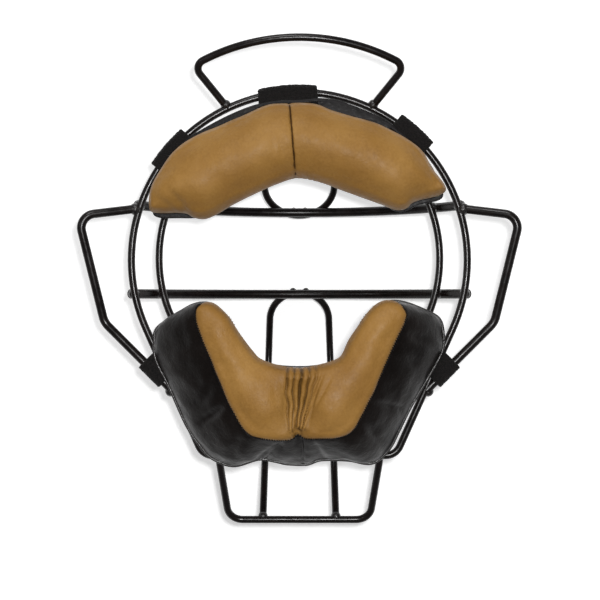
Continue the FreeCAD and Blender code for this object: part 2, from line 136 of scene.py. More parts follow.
# The chin pad, clockwise from the top centre: (x, z) of the tan face's seam, (x, z) of the back
CHIN_PAIRS = [
    (0, -72.6, 1, -73.6), (10, -71, 10, -73), (20.7, -68, 19.4, -71.4), (26.4, -64, 26.6, -68.4),
    (30.9, -54.6, 34, -57.6), (36, -46.4, 40, -50), (40.5, -39.6, 44.6, -43.6),
    (46.3, -34, 49.6, -36.6), (53.1, -31.2, 56.6, -31.8), (60, -32.4, 67, -32.4),
    (64.4, -37.8, 80, -37.4), (63.4, -43.2, 88.4, -42.4), (60, -50.4, 90.8, -51),
    (56, -59.5, 90.2, -62.3), (49.5, -73.8, 81.4, -78.8), (43.2, -87.6, 70.4, -97.2),
    (36.9, -100.8, 62.4, -113.4), (32.5, -107.4, 56.4, -124.6), (27.1, -111.2, 46, -133.2),
    (18, -113.2, 31, -131.2), (8, -113.8, 14, -131), (3, -113.4, 6, -133.6), (-0.6, -111.4, 1, -134),
    (-4.6, -113.6, -4, -133.8), (-9, -114.2, -9, -133.4), (-14, -114.2, -16, -131.8),
    (-22.2, -113.4, -26, -130.6), (-29.1, -111.6, -42, -134.8), (-34.5, -106.2, -55.4, -130),
    (-39.9, -96.6, -62.4, -122.6), (-45.3, -84.6, -71.4, -109), (-51, -71, -82.4, -84.5),
    (-57, -56.5, -90.6, -68), (-60.5, -48, -91.6, -57), (-62.4, -41, -90, -48.4),
    (-62.2, -35.4, -79, -40.6), (-59.3, -32.6, -67, -33.6), (-53.7, -32.6, -56.6, -33),
    (-48.3, -36, -51.6, -38.6), (-42.9, -41, -47, -45), (-36.9, -50.8, -40.4, -54.4),
    (-29.7, -60.6, -31.4, -65), (-24, -66.8, -22.6, -70.6), (-13, -70.8, -12, -73),
]


# ---------------------------------------------------------------- curves and meshes


def evenly(points, step, columns):
    """A closed curve sampled at even steps, measured in the given columns."""
    ahead = np.roll(points, -1, 0)
    length = np.linalg.norm((ahead - points)[:, columns], axis=1)
    along = np.concatenate([[0], np.cumsum(length)])
    closed = np.vstack([points, points[:1]])
    places = np.linspace(0, along[-1], int(along[-1] / step), endpoint=False)
    return np.stack([np.interp(places, along, closed[:, k]) for k in range(points.shape[1])], 1)


def smooth_loop(points, step, columns=(0, 1)):
    """A smooth closed curve through the points."""
    p = np.array(points, float)
    t = np.linspace(0, 1, 16, endpoint=False)[:, None]
    a, b, c, d = np.roll(p, 1, 0), p, np.roll(p, -1, 0), np.roll(p, -2, 0)
    runs = []
    for i in range(len(p)):
        bend = 2 * a[i] - 5 * b[i] + 4 * c[i] - d[i]
        twist = 3 * b[i] - a[i] - 3 * c[i] + d[i]
        runs.append(0.5 * (2 * b[i] + (c[i] - a[i]) * t + bend * t**2 + twist * t**3))
    return evenly(np.vstack(runs), step, list(columns))


def smooth_line(points, steps):
    """A smooth open curve through the points."""
    p = np.array(points, float)
    p = np.vstack([2 * p[0] - p[1], p, 2 * p[-1] - p[-2]])
    t = np.linspace(0, 1, steps, endpoint=False)[:, None]
    runs = []
    for i in range(1, len(p) - 2):
        a, b, c, d = p[i - 1 : i + 3]
        bend = 2 * a - 5 * b + 4 * c - d
        twist = 3 * b - a - 3 * c + d
        runs.append(0.5 * (2 * b + (c - a) * t + bend * t**2 + twist * t**3))
    return np.vstack(runs + [p[-2:-1]])


def outward(loop):
    """Unit normals of a clockwise loop in the XZ plane."""
    run = np.roll(loop, -2, 0) - np.roll(loop, 2, 0)
    normal = np.stack([-run[:, 1], run[:, 0]], 1)
    return normal / np.linalg.norm(normal, axis=1)[:, None]


def relaxed(loop, share=0.35):
    return loop * (1 - share) + (np.roll(loop, 1, 0) + np.roll(loop, -1, 0)) * share / 2


def inset(loop, distance):
    """The loop moved inward, or outward if the distance is negative, in small eased steps."""
    steps = max(1, int(abs(distance) / 0.4))
    for _ in range(steps):
        loop = relaxed(loop - outward(loop) * distance / steps)
    return loop


def at_depth(loop, depth):
    """A loop of (x, z) as points at a depth, which may change along it."""
    depth = np.broadcast_to(np.asarray(depth, float), (len(loop),))
    return np.stack([loop[:, 0], depth, loop[:, 1]], 1)


def distance_to(points, start, end):
    """Distance from each point to the nearest of many short runs."""
    run = end - start
    size = np.maximum((run**2).sum(1), 1e-9)
    share = ((points[:, None] - start[None]) * run[None]).sum(2) / size[None]
    share = np.clip(share, 0, 1)[..., None]
    return np.linalg.norm(points[:, None] - (start[None] + run[None] * share), axis=2).min(1)


def inside(points, loop):
    ax, az = loop[:, 0][None], loop[:, 1][None]
    bx, bz = np.roll(loop, -1, 0)[:, 0][None], np.roll(loop, -1, 0)[:, 1][None]
    x, z = points[:, :1], points[:, 1:]
    crosses = (az > z) != (bz > z)
    slope = (bx - ax) * (z - az) / np.where(bz == az, 1e-9, bz - az) + ax
    return (crosses & (x < slope)).sum(1) % 2 == 1


def seeds(loop, spacing, dense=None):
    """Evenly scattered points inside a loop, closer together inside the dense box."""
    low, high = loop.min(0), loop.max(0)
    rows = []
    for size, only in ((spacing, None), (dense[0], dense[1:]) if dense else (None, None)):
        if size is None:
            continue
        for k, z in enumerate(np.arange(low[1], high[1], size * 0.87)):
            x = np.arange(low[0] + (k % 2) * size / 2, high[0], size)
            rows.append(np.stack([x, np.full(len(x), z)], 1)[in_box(x, z, only)])
    points = np.vstack(rows)
    if dense:
        coarse = sum(len(r) for r in rows[: len(np.arange(low[1], high[1], spacing * 0.87))])
        near = in_box(points[:, 0], points[:, 1], dense[1:])
        near[coarse:] = False
        points = points[~near]
    points = points[inside(points, loop)]
    return points[distance_to(points, loop, np.roll(loop, -1, 0)) > spacing * 0.5]


def in_box(x, z, box):
    if box is None:
        return np.ones(np.shape(x), bool)
    return (x > box[0]) & (x < box[1]) & (z > box[2]) & (z < box[3])


def skin(name, rings, depth=None, spacing=1.5, extra=None, dense=None):
    """Quads between rings of points, then triangles that fill the last ring to a given depth."""
    count = len(rings[0])
    points = np.vstack(rings)
    faces = []
    for k in range(len(rings) - 1):
        a, b = k * count, (k + 1) * count
        faces += [(a + i, a + (i + 1) % count, b + (i + 1) % count, b + i) for i in range(count)]
    if depth is not None:
        rim = rings[-1][:, [0, 2]]
        fill = seeds(rim, spacing, dense)
        if extra is not None:
            fill = fill[distance_to(fill, extra[0], extra[1]) > SEAM_CLEAR]
            fill = np.vstack([fill, extra[2]])
        flat = [Vector(p) for p in np.vstack([rim, fill])]
        out = delaunay_2d_cdt(flat, [], [list(range(count))], 1, 1e-4)
        made = np.array([tuple(v) for v in out[0]])
        where = []
        added = []
        for k, source in enumerate(out[3]):
            on_rim = [i for i in source if i < count]
            if on_rim:
                where.append((len(rings) - 1) * count + on_rim[0])
            else:
                where.append(len(points) + len(added))
                added.append(made[k])
        added = np.array(added)
        points = np.vstack([points, at_depth(added, depth(added))])
        faces += [tuple(where[i] for i in face) for face in out[2]]
    return mesh_object(name, points, faces)


def mesh_object(name, points, faces):
    """A smooth-shaded mesh from points in millimetres."""
    mesh = bpy.data.meshes.new(name)
    mesh.from_pydata([tuple(p * MM) for p in np.asarray(points, float)], [], faces)
    mesh.validate()
    mesh.polygons.foreach_set("use_smooth", [True] * len(mesh.polygons))
    made = bpy.data.objects.new(name, mesh)
    bpy.context.collection.objects.link(made)
    bpy.ops.object.select_all(action="DESELECT")
    bpy.context.view_layer.objects.active = made
    made.select_set(True)
    bpy.ops.object.mode_set(mode="EDIT")
    bpy.ops.mesh.select_all(action="SELECT")
    bpy.ops.mesh.normals_make_consistent(inside=False)
    bpy.ops.object.mode_set(mode="OBJECT")
    return made


def places(made):
    co = np.zeros(len(made.data.vertices) * 3)
    made.data.vertices.foreach_get("co", co)
    return co.reshape(-1, 3) / MM


def put_places(made, points):
    made.data.vertices.foreach_set("co", (points * MM).ravel())
    made.data.update()


def normals(made):
    co = np.zeros(len(made.data.vertices) * 3)
    made.data.vertex_normals.foreach_get("vector", co)
    return co.reshape(-1, 3)


def edge_pairs(made):
    pairs = np.zeros(len(made.data.edges) * 2, int)
    made.data.edges.foreach_get("vertices", pairs)
    return pairs.reshape(-1, 2)


def eased(made, rounds, fixed):
    """Even out a mesh, keeping the first points where they are."""
    points = places(made)
    a, b = edge_pairs(made).T
    share = np.zeros(len(points))
    np.add.at(share, a, 1)
    np.add.at(share, b, 1)
    for _ in range(rounds):
        total = np.zeros_like(points)
        np.add.at(total, a, points[b])
        np.add.at(total, b, points[a])
        mean = total / np.maximum(share, 1)[:, None]
        points[fixed:, 1] = points[fixed:, 1] * 0.4 + mean[fixed:, 1] * 0.6
    put_places(made, points)


def raised(made, amount):
    """Move each point along its normal by an amount in millimetres."""
    points = places(made)
    facing = normals(made)
    middle = points.mean(0)
    if ((points - middle) * facing).sum() < 0:
        facing = -facing
    put_places(made, points + facing * amount(points)[:, None])


def rough(points, size, seed):
    """Smooth noise, one value per point, for bumps of about a size."""
    shift = Vector((seed * 17.3, seed * 5.1, seed * 9.7))
    return np.array([noise.noise(Vector(p) / size + shift) for p in points])


def dent(points, start, end, width, depth):
    """A crease along a line in the XZ plane: negative is inward."""
    start, end = np.array(start, float), np.array(end, float)
    run = end - start
    flat = points[:, [0, 2]] - start
    along = np.clip((flat @ run) / (run @ run), 0, 1)
    away = np.linalg.norm(flat - along[:, None] * run, axis=1)
    taper = np.sin(math.pi * np.clip(along * 0.9 + 0.05, 0, 1)) ** 0.7
    return -depth * np.exp(-((away / width) ** 2)) * taper


def tube(line, radius, closed=False, sides=10):
    """A round cord along a line."""
    line = np.asarray(line, float)
    if closed:
        run = np.roll(line, -1, 0) - np.roll(line, 1, 0)
    else:
        run = np.gradient(line, axis=0)
    run /= np.linalg.norm(run, axis=1)[:, None]
    side = np.cross(run, [0.03, 1, 0.05])
    side /= np.linalg.norm(side, axis=1)[:, None]
    over = np.cross(side, run)
    points = []
    for k in range(sides):
        turn = 2 * math.pi * k / sides
        points.append(line + (side * math.cos(turn) + over * math.sin(turn)) * radius)
    points = np.stack(points, 1).reshape(-1, 3)
    count = len(line)
    faces = []
    for i in range(count if closed else count - 1):
        j = (i + 1) % count
        for k in range(sides):
            m = (k + 1) % sides
            faces.append((i * sides + k, i * sides + m, j * sides + m, j * sides + k))
    if not closed:
        faces.append(tuple(range(sides)))
        faces.append(tuple(range((count - 1) * sides, count * sides)))
    return points, faces


def threads(name, stitches):
    """Many short stitches as one mesh; each is a little arch from start to end."""
    points, faces = [], []
    total = 0
    for start, end, lift in stitches:
        start, end, lift = np.array(start), np.array(end), np.array(lift)
        share = np.linspace(0, 1, 6)[:, None]
        line = start + (end - start) * share + lift * np.sin(math.pi * share)
        p, f = tube(line, THREAD, sides=6)
        points.append(p)
        faces += [tuple(i + total for i in face) for face in f]
        total += len(p)
    return mesh_object(name, np.vstack(points), faces)


# ---------------------------------------------------------------- materials


class Finish:
    """A material with a Principled shader and short ways to add texture to it."""

    def __init__(self, name, roughness, sheen=0.0, coat=0.0, shine=0.5):
        self.material = bpy.data.materials.new(name)
        self.material.use_nodes = True
        self.tree = self.material.node_tree
        self.shader = self.tree.nodes["Principled BSDF"]
        self.shader.inputs["Roughness"].default_value = roughness
        self.shader.inputs["Sheen Weight"].default_value = sheen
        self.shader.inputs["Coat Weight"].default_value = coat
        self.shader.inputs["Specular IOR Level"].default_value = shine
        self.place = self.tree.nodes.new("ShaderNodeTexCoord").outputs["Object"]
        self.normal = None

    def node(self, kind, **settings):
        made = self.tree.nodes.new(kind)
        for key, value in settings.items():
            setattr(made, key, value)
        return made

    def link(self, source, target):
        self.tree.links.new(source, target)

    def noise(self, size_mm, detail=3.0, stretch=None):
        made = self.node("ShaderNodeTexNoise")
        made.inputs["Scale"].default_value = 1 / (size_mm * MM)
        made.inputs["Detail"].default_value = detail
        self.link(self.stretched(stretch), made.inputs["Vector"])
        return made.outputs["Fac"]

    def stretched(self, stretch):
        if stretch is None:
            return self.place
        mapping = self.node("ShaderNodeMapping")
        mapping.inputs["Scale"].default_value = stretch
        self.link(self.place, mapping.inputs["Vector"])
        return mapping.outputs["Vector"]

    def cells(self, size_mm, feature="F1"):
        made = self.node("ShaderNodeTexVoronoi", feature=feature)
        made.inputs["Scale"].default_value = 1 / (size_mm * MM)
        self.link(self.place, made.inputs["Vector"])
        return made.outputs["Distance"]

    def wave(self, size_mm, direction):
        made = self.node("ShaderNodeTexWave", bands_direction=direction)
        made.inputs["Scale"].default_value = WAVE_PERIOD / (size_mm * MM)
        made.inputs["Distortion"].default_value = 1.5
        made.inputs["Detail"].default_value = 2.0
        self.link(self.place, made.inputs["Vector"])
        return made.outputs["Fac"]

    def ramp(self, source, stops):
        made = self.node("ShaderNodeValToRGB")
        band = made.color_ramp
        for place, colour in stops[:-2]:
            band.elements.new(place)
        for element, (place, colour) in zip(band.elements, stops):
            element.position = place
            element.color = (*colour, 1)
        self.link(source, made.inputs["Fac"])
        return made.outputs["Color"]

    def spread(self, source, low, high):
        made = self.node("ShaderNodeMapRange")
        made.inputs["From Min"].default_value = 0.3
        made.inputs["From Max"].default_value = 0.7
        made.inputs["To Min"].default_value = low
        made.inputs["To Max"].default_value = high
        self.link(source, made.inputs["Value"])
        return made.outputs["Result"]

    def mixed(self, first, second, share):
        """Two colours mixed by a share, which is a socket."""
        made = self.node("ShaderNodeMix", data_type="RGBA")
        self.link(share, made.inputs["Factor"])
        self.link(first, made.inputs["A"])
        self.link(second, made.inputs["B"])
        return made.outputs["Result"]

    def bump(self, height, depth_mm):
        made = self.node("ShaderNodeBump")
        made.inputs["Strength"].default_value = 1.0
        made.inputs["Distance"].default_value = depth_mm * MM
        self.link(height, made.inputs["Height"])
        if self.normal is not None:
            self.link(self.normal, made.inputs["Normal"])
        self.normal = made.outputs["Normal"]
        self.link(self.normal, self.shader.inputs["Normal"])

    def colour(self, source):
        self.link(source, self.shader.inputs["Base Color"])

    def roughness(self, source):
        self.link(source, self.shader.inputs["Roughness"])

    def shade(self, name):
        """A value painted on the mesh's points."""
        made = self.node("ShaderNodeAttribute", attribute_name=name)
        return made.outputs["Fac"]


def linear(r, g, b):
    """A colour as the eye reads it, 0 to 255, in the renderer's linear values."""
    out = []
    for value in (r, g, b):
        value /= 255
        out.append(value / 12.92 if value <= 0.04045 else ((value + 0.055) / 1.055) ** 2.4)
    return tuple(out)


def coated_wire():
    f = Finish("coated_wire", 0.2, shine=0.3)
    f.colour(f.ramp(f.noise(9, 4), [(0.3, linear(9, 6, 6)), (0.7, linear(22, 16, 15))]))
    f.roughness(f.spread(f.noise(6, 4), 0.2, 0.34))
    f.bump(f.noise(14, 2), 0.3)
    f.bump(f.noise(1.6, 2), 0.012)
    return f.material


def coated_weld():
    f = Finish("weld_metal", 0.28, coat=0.3)
    f.colour(f.ramp(f.noise(3, 4), [(0.3, linear(9, 7, 7)), (0.7, linear(24, 18, 17))]))
    f.roughness(f.spread(f.noise(1.6, 4), 0.2, 0.45))
    f.bump(f.noise(2.2, 3), 0.7)
    f.bump(f.noise(0.8, 3), 0.12)
    return f.material


def tan_leather():
    f = Finish("tan_leather", 0.5, shine=0.2)
    broad = f.ramp(
        f.noise(34, 5),
        [(0.28, linear(130, 92, 41)), (0.5, linear(145, 106, 50)), (0.74, linear(158, 119, 62))],
    )
    fine = f.ramp(f.noise(1.6, 4), [(0.3, linear(115, 81, 34)), (0.7, linear(154, 115, 60))])
    mixed = f.mixed(broad, fine, f.spread(f.noise(7, 3), 0.1, 0.38))
    # The darker tan, mixed in by the share painted on the points, is painted shade for seams, creases,
    # folds and edges.
    shaded_tan = f.ramp(f.noise(3, 4), [(0.35, linear(72, 48, 18)), (0.7, linear(92, 66, 28))])
    f.colour(f.mixed(mixed, shaded_tan, f.shade("painted_shade")))
    f.roughness(f.spread(f.noise(5, 4), 0.42, 0.6))
    f.bump(f.noise(7, 4), 0.34)
    f.bump(f.noise(2.2, 4, (1, 1, 0.35)), 0.16)
    f.bump(f.cells(0.9), 0.09)
    return f.material


def black_leather():
    f = Finish("black_leather", 0.42, shine=0.12)
    broad = f.ramp(f.noise(22, 5), [(0.3, linear(10, 7, 6)), (0.7, linear(22, 17, 15))])
    fine = f.ramp(f.noise(1.2, 4), [(0.3, linear(8, 6, 5)), (0.7, linear(27, 22, 20))])
    f.colour(f.mixed(broad, fine, f.spread(f.noise(6, 3), 0.1, 0.5)))
    f.roughness(f.spread(f.noise(7, 4), 0.28, 0.44))
    f.bump(f.noise(11, 4), 0.7)
    f.bump(f.noise(3, 4), 0.16)
    f.bump(f.cells(0.9), 0.08)
    return f.material


def panel_vinyl():
    f = Finish("panel_vinyl", 0.45, shine=0.2)
    f.colour(f.ramp(f.noise(6, 5), [(0.3, linear(10, 9, 10)), (0.7, linear(25, 22, 23))]))
    f.roughness(f.spread(f.noise(3, 4), 0.36, 0.58))
    f.bump(f.noise(8, 3), 0.3)
    f.bump(f.cells(1.0, "SMOOTH_F1"), 0.12)
    return f.material


def welt():
    f = Finish("piping", 0.3)
    f.colour(f.ramp(f.noise(4, 4), [(0.3, linear(20, 17, 17)), (0.7, linear(42, 38, 37))]))
    f.roughness(f.spread(f.noise(2, 4), 0.24, 0.42))
    f.bump(f.noise(1.5, 3), 0.12)
    f.bump(f.cells(0.6), 0.04)
    return f.material


def hook_fabric():
    f = Finish("hook_strap", 0.92, sheen=0.05, shine=0.25)
    f.colour(f.ramp(f.noise(0.9, 5), [(0.34, linear(3, 3, 3)), (0.7, linear(24, 20, 19))]))
    f.roughness(f.spread(f.noise(1.0, 4), 0.8, 1.0))
    f.bump(f.cells(0.9), 0.55)
    f.bump(f.noise(0.5, 4), 0.3)
    return f.material


def loop_fabric():
    f = Finish("loop_fabric", 0.95, sheen=0.1)
    f.colour(f.ramp(f.noise(0.7, 5), [(0.34, linear(12, 11, 11)), (0.7, linear(48, 44, 44))]))
    f.roughness(f.spread(f.noise(1.4, 4), 0.85, 1.0))
    f.bump(f.noise(0.6, 5), 0.5)
    f.bump(f.cells(1.4), 0.25)
    return f.material


def thread(name, dark, light):
    f = Finish(name, 0.6, shine=0.1)
    f.colour(f.ramp(f.noise(0.8, 3), [(0.3, linear(*dark)), (0.7, linear(*light))]))
    f.roughness(f.spread(f.noise(1, 3), 0.5, 0.75))
    f.bump(f.wave(0.35, "DIAGONAL"), 0.08)
    return f.material


def foam():
    f = Finish("pad_foam", 0.9)
    f.colour(f.ramp(f.noise(2, 5), [(0.3, linear(150, 140, 110)), (0.7, linear(205, 196, 160))]))
    f.roughness(f.spread(f.noise(2, 3), 0.8, 1.0))
    f.bump(f.cells(1.1), 0.5)
    f.bump(f.noise(0.6, 3), 0.15)
    return f.material


def paper():
    """Pale ground, seen only from the mask's side, so that the mask can be viewed from any side."""
    f = Finish("ground", 0.9)
    f.colour(f.ramp(f.noise(60, 3), [(0.3, (0.88, 0.88, 0.88)), (0.7, (0.9, 0.9, 0.9))]))
    f.bump(f.noise(1.0, 3), 0.02)
    f.shader.inputs["Emission Color"].default_value = (1, 1, 1, 1)
    f.shader.inputs["Emission Strength"].default_value = GROUND_GLOW
    clear = f.node("ShaderNodeBsdfTransparent")
    choice = f.node("ShaderNodeMixShader")
    f.link(f.node("ShaderNodeNewGeometry").outputs["Backfacing"], choice.inputs["Fac"])
    f.link(f.shader.outputs["BSDF"], choice.inputs[1])
    f.link(clear.outputs["BSDF"], choice.inputs[2])
    f.link(choice.outputs["Shader"], f.tree.nodes["Material Output"].inputs["Surface"])
    return f.material


def painted_shade(made, amount):
    """Paint a share of shade, 0 to 1, on each point for the material to read: painted shade that darkens
    the tan leather.
    """
    layer = made.data.attributes.new("painted_shade", "FLOAT", "POINT")
    layer.data.foreach_set("value", np.clip(amount, 0, 1).astype(np.float32))


def finished(made, material, slot, *nodes):
    """Give a piece its material and the CAD nodes that it stands for; it rides on the mask. The slot is
    not used.
    """
    made.data.materials.append(material)
    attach(made, "mask")
    if nodes:
        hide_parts(*nodes)


# ---------------------------------------------------------------- forehead pad

# Edge profile of the forehead pad: inset from its outline, and share of its whole depth
FOREHEAD_EDGE = [
    (2.2, 0.0), (1.2, 0.06), (0.5, 0.13), (0.1, 0.2), (0.0, 0.28), (0.1, 0.36), (0.4, 0.44),
    (0.9, 0.51), (1.6, 0.575), (2.4, 0.63), (3.2, 0.68),
]
FOREHEAD_RISE = [
    (3.2, 0.68), (5.0, 0.765), (7.0, 0.835), (9.5, 0.905), (12.5, 0.965), (16.0, 1.02), (22.0, 1.08),
]
SEAM_TOP = np.array([-6.1, 91.0])
SEAM_FOOT = np.array([-2.1, 44.8])


def forehead_depth(loop, shrink):
    """Depth of the forehead pad's face, from the distance to its outline."""
    inset_by, share = smooth_line(FOREHEAD_RISE, 6).T
    full = FOREHEAD_FACE - PANEL_REAR + shrink

    def depth(points):
        away = distance_to(points, loop, np.roll(loop, -1, 0))
        return PANEL_REAR + full * np.interp(away, inset_by, share)

    return depth


def forehead_rings(loop, shrink):
    full = FOREHEAD_FACE - PANEL_REAR + shrink
    rings = [at_depth(inset(loop, 7.0), PANEL_REAR), at_depth(inset(loop, 4.0), PANEL_REAR)]
    for inset_by, share in FOREHEAD_EDGE:
        rings.append(at_depth(inset(loop, inset_by), PANEL_REAR + full * share))
    return rings


def seam_points():
    """Rows of points on both sides of the forehead pad's middle seam, for its narrow groove."""
    run = SEAM_FOOT - SEAM_TOP
    side = np.array([run[1], -run[0]]) / np.linalg.norm(run)
    shares = np.linspace(-0.02, 1.02, 44)[:, None]
    offsets = (0, 0.35, 0.7, 1.1, 1.8)
    rows = [SEAM_TOP + run * shares + side * s * o for o in offsets for s in (-1, 1) if o or s > 0]
    return SEAM_TOP[None], SEAM_FOOT[None], np.vstack(rows)


def seam_distance(points):
    return distance_to(points[:, [0, 2]], SEAM_TOP[None] + [-0.4, 4], SEAM_FOOT[None] + [0.4, -4])


def forehead_relief(points):
    away = seam_distance(points)
    face = np.clip((PANEL_REAR - points[:, 1]) / 16, 0, 1)
    low = points[:, 2] < 46 + 0.006 * points[:, 0] ** 2
    ruffle = np.exp(-(((points[:, 0] - 6) / 6) ** 2)) * np.clip((54 - points[:, 2]) / 8, 0, 1)
    out = 1.0 * rough(points, 30, 1) + 0.4 * rough(points, 12, 2)
    out -= 1.1 * np.exp(-((away / 0.55) ** 2)) + 0.8 * np.exp(-((away / 5.0) ** 2))
    out += 0.55 * ruffle * np.cos(points[:, 0] * 2 * math.pi / 3.3) * np.where(low, 1.0, 0.7)
    for start, end, width, depth in (
        ((-80, 38), (-67, 21), 2.2, 1.3),
        ((-86, 33), (-76, 24), 2.0, 0.7),
        ((-13, 73), (-10, 58), 1.8, 0.55),
        ((-17, 70), (-15, 60), 1.6, 0.4),
        ((62, 52), (74, 34), 5.0, 0.9),
        ((40, 62), (46, 52), 4.0, 0.5),
        ((-52, 48), (-44, 36), 4.0, 0.6),
        ((80, 50), (86, 40), 2.0, 0.5),
        ((16, 60), (22, 50), 3.0, 0.35),
    ):
        out += dent(points, start, end, width, depth)
    return out * face


def forehead_pad(tan, vinyl, filling, brown):
    loop = smooth_loop(FOREHEAD_LOOP, 1.1)
    rings = forehead_rings(loop, 0)
    inner = rings[-1][:, [0, 2]]
    start, end, rows = seam_points()
    rows = rows[inside(rows, inner)]
    rows = rows[distance_to(rows, inner, np.roll(inner, -1, 0)) > 0.5]
    cover = skin("forehead_pad_leather", rings, forehead_depth(loop, 0), 1.5, (start, end, rows))
    eased(cover, 26, len(rings) * len(loop))
    raised(cover, forehead_relief)
    points = places(cover)
    # Painted shade on the tan: darker along the middle seam's groove, on the sides that curve back towards
    # the panel, and along the lower part's edge.
    away = seam_distance(points)
    edge = np.clip((points[:, 1] - PANEL_REAR + 9) / 9, 0, 1)
    low = np.exp(-(distance_to(points[:, [0, 2]], loop, np.roll(loop, -1, 0)) / 3.5))
    under = np.clip((60 - points[:, 2]) / 40, 0, 1)
    painted_shade(cover, 0.75 * np.exp(-((away / 0.6) ** 2)) + 0.5 * edge + 0.4 * low * under)
    finished(cover, tan, "tan_leather", "forehead_pad_cover")

    core_loop = inset(loop, LEATHER + 0.6)
    core = skin("forehead_pad_core", forehead_rings(core_loop, 4.5), forehead_depth(core_loop, 4.5), 4)
    finished(core, filling, "pad_foam", "forehead_pad_foam")

    back = smooth_loop(FOREHEAD_PANEL_LOOP, 1.4)
    panel = plate("forehead_pad_panel", back, PANEL_FRONT, PANEL_REAR, 0.5)
    finished(panel, vinyl, "black_leather", "forehead_pad_back")

    # A thin dark brown cord laid along the middle seam on the leather's surface: painted shade, a dark
    # line standing in for the seam's shaded groove.
    run = SEAM_FOOT - SEAM_TOP
    surface = points[points[:, 1] < PANEL_REAR - 8]
    line = []
    for share in np.linspace(0.02, 0.93, 38):
        spot = SEAM_TOP + run * share
        gap = ((surface[:, [0, 2]] - spot) ** 2).sum(1)
        line.append((spot[0], surface[np.argsort(gap)[:6], 1].mean(), spot[1]))
    line = np.array(line)
    for _ in range(12):
        line[1:-1, 1] = (line[:-2, 1] + 2 * line[1:-1, 1] + line[2:, 1]) / 4
    seam_shade_cord, faces = tube(line + [0, -0.1, 0], 0.42)
    finished(mesh_object("forehead_pad_seam_shade", seam_shade_cord, faces), brown, "tan_leather")


def plate(name, loop, front, rear, rounding):
    """A flat panel with rounded edges."""
    rings = [
        at_depth(inset(loop, 2.0), front),
        at_depth(inset(loop, rounding), front),
        at_depth(inset(loop, rounding * 0.3), front - rounding * 0.3),
        at_depth(loop, front - rounding),
        at_depth(loop, rear + rounding),
        at_depth(inset(loop, rounding * 0.3), rear + rounding * 0.3),
        at_depth(inset(loop, rounding), rear),
        at_depth(inset(loop, 2.0), rear),
    ]
    return skin(name, rings[::-1], lambda p: np.full(len(p), front), 5.0)


# ---------------------------------------------------------------- chin pad


def chin_curves():
    """The seam and the back outline, and how far each place is on the inner side, 0 to 1."""
    both = smooth_loop(CHIN_PAIRS, CHIN_STEP, (2, 3))
    seam, back = both[:, :2], both[:, 2:]
    width = np.linalg.norm(seam - back, axis=1)
    inner = np.clip(1 - (width - 3.5) / 5.0, 0, 1)
    for _ in range(6):
        inner = relaxed(inner[:, None], 0.6)[:, 0]
    return seam, back, inner


def seam_depth(seam, inner):
    pinch = np.exp(-((seam[:, 0] / 5) ** 2)) * (seam[:, 1] < -100)
    return CHIN_SEAM + INNER_SEAM_RISE * inner + 3.0 * pinch


def wall_rings(seam, back, inner, shrink=0.0):
    """Rings from the back panel up the bulging side walls to the seam."""
    width = np.linalg.norm(seam - back, axis=1)
    top = at_depth(seam, seam_depth(seam, inner) + shrink)
    foot = at_depth(back, PANEL_REAR)
    out = outward(back)
    rise = top - foot
    along = np.gradient(foot, axis=0)
    facing = np.cross(rise, along)
    facing /= np.linalg.norm(facing, axis=1)[:, None]
    flip = np.sign((facing[:, [0, 2]] * out).sum(1) - facing[:, 1] * 0.2)
    facing *= flip[:, None]
    swell = np.clip(width * 0.16, 0.3, 5.2) * (1 - 0.8 * inner)
    for _ in range(4):
        facing = relaxed(facing)
        swell = relaxed(swell[:, None])[:, 0]
    rings = []
    for share in np.linspace(0, 1, 19):
        bulge = swell * (4 * share * (1 - share)) ** 0.8 * (1.15 - 0.3 * share)
        rings.append(foot + rise * share + facing * bulge[:, None])
    return rings


def wall_relief(points):
    side = np.clip((PANEL_REAR - points[:, 1]) / 6, 0, 1)
    side *= np.clip((points[:, 1] - CHIN_SEAM) / 5, 0, 1)
    out = 1.1 * rough(points, 26, 3) + 0.45 * rough(points, 9, 4)
    for start, end, width, depth in (
        ((-42, -92), (-62, -106), 2.6, 1.6),
        ((-50, -78), (-60, -92), 3.5, 0.8),
        ((-9, -116), (-22, -131), 1.5, 1.2),
        ((-12, -117), (-27, -130), 2.0, 0.7),
        ((1, -113), (2.4, -135), 0.8, 1.2),
        ((9, -116), (16, -131), 2.2, 0.8),
        ((-36, -112), (-44, -132), 3.0, 0.7),
        ((46, -92), (66, -98), 2.4, 0.9),
        ((40, -104), (54, -122), 3.0, 0.8),
        ((66, -50), (84, -58), 4.0, 0.9),
        ((-66, -52), (-86, -62), 5.0, 0.8),
        ((62, -66), (80, -72), 3.5, 0.6),
    ):
        out += dent(points, start, end, width, WALL_FOLDS * depth)
    return out * side


# Edge profile of the chin pad's face on its outer and its inner side: outset, and depth past the seam
OUTER_ROLL = [(0, 0), (0.1, 0.9), (0, 1.8), (-0.4, 2.7), (-1.1, 3.6), (-2.3, 4.5), (-4.0, 5.2)]
INNER_ROLL = [(0, 0), (0.9, 4), (1.3, 8.5), (1.2, 13), (0.4, 17), (-1.3, 20.2), (-4.0, 22.2)]
VALLEY_X = -0.6


def face_rings(seam, inner):
    depth = seam_depth(seam, inner)
    outer_roll = smooth_line(OUTER_ROLL, 2)
    inner_roll = smooth_line(INNER_ROLL, 2)
    pucker = SEAM_PUCKER * (1 + np.cos(np.arange(len(seam)) * math.pi / 2))[:, None]
    rings = []
    for (out_a, deep_a), (out_b, deep_b) in zip(outer_roll, inner_roll):
        near = max(0, 1 - deep_a / 2.5)
        outer_loop = inset(seam, -out_a) + outward(seam) * pucker * near
        inner_loop = inset(seam, -out_b)
        loop = outer_loop * (1 - inner[:, None]) + inner_loop * inner[:, None]
        deep = deep_a * (1 - inner) + deep_b * inner
        rings.append(at_depth(loop, depth - deep))
    return rings


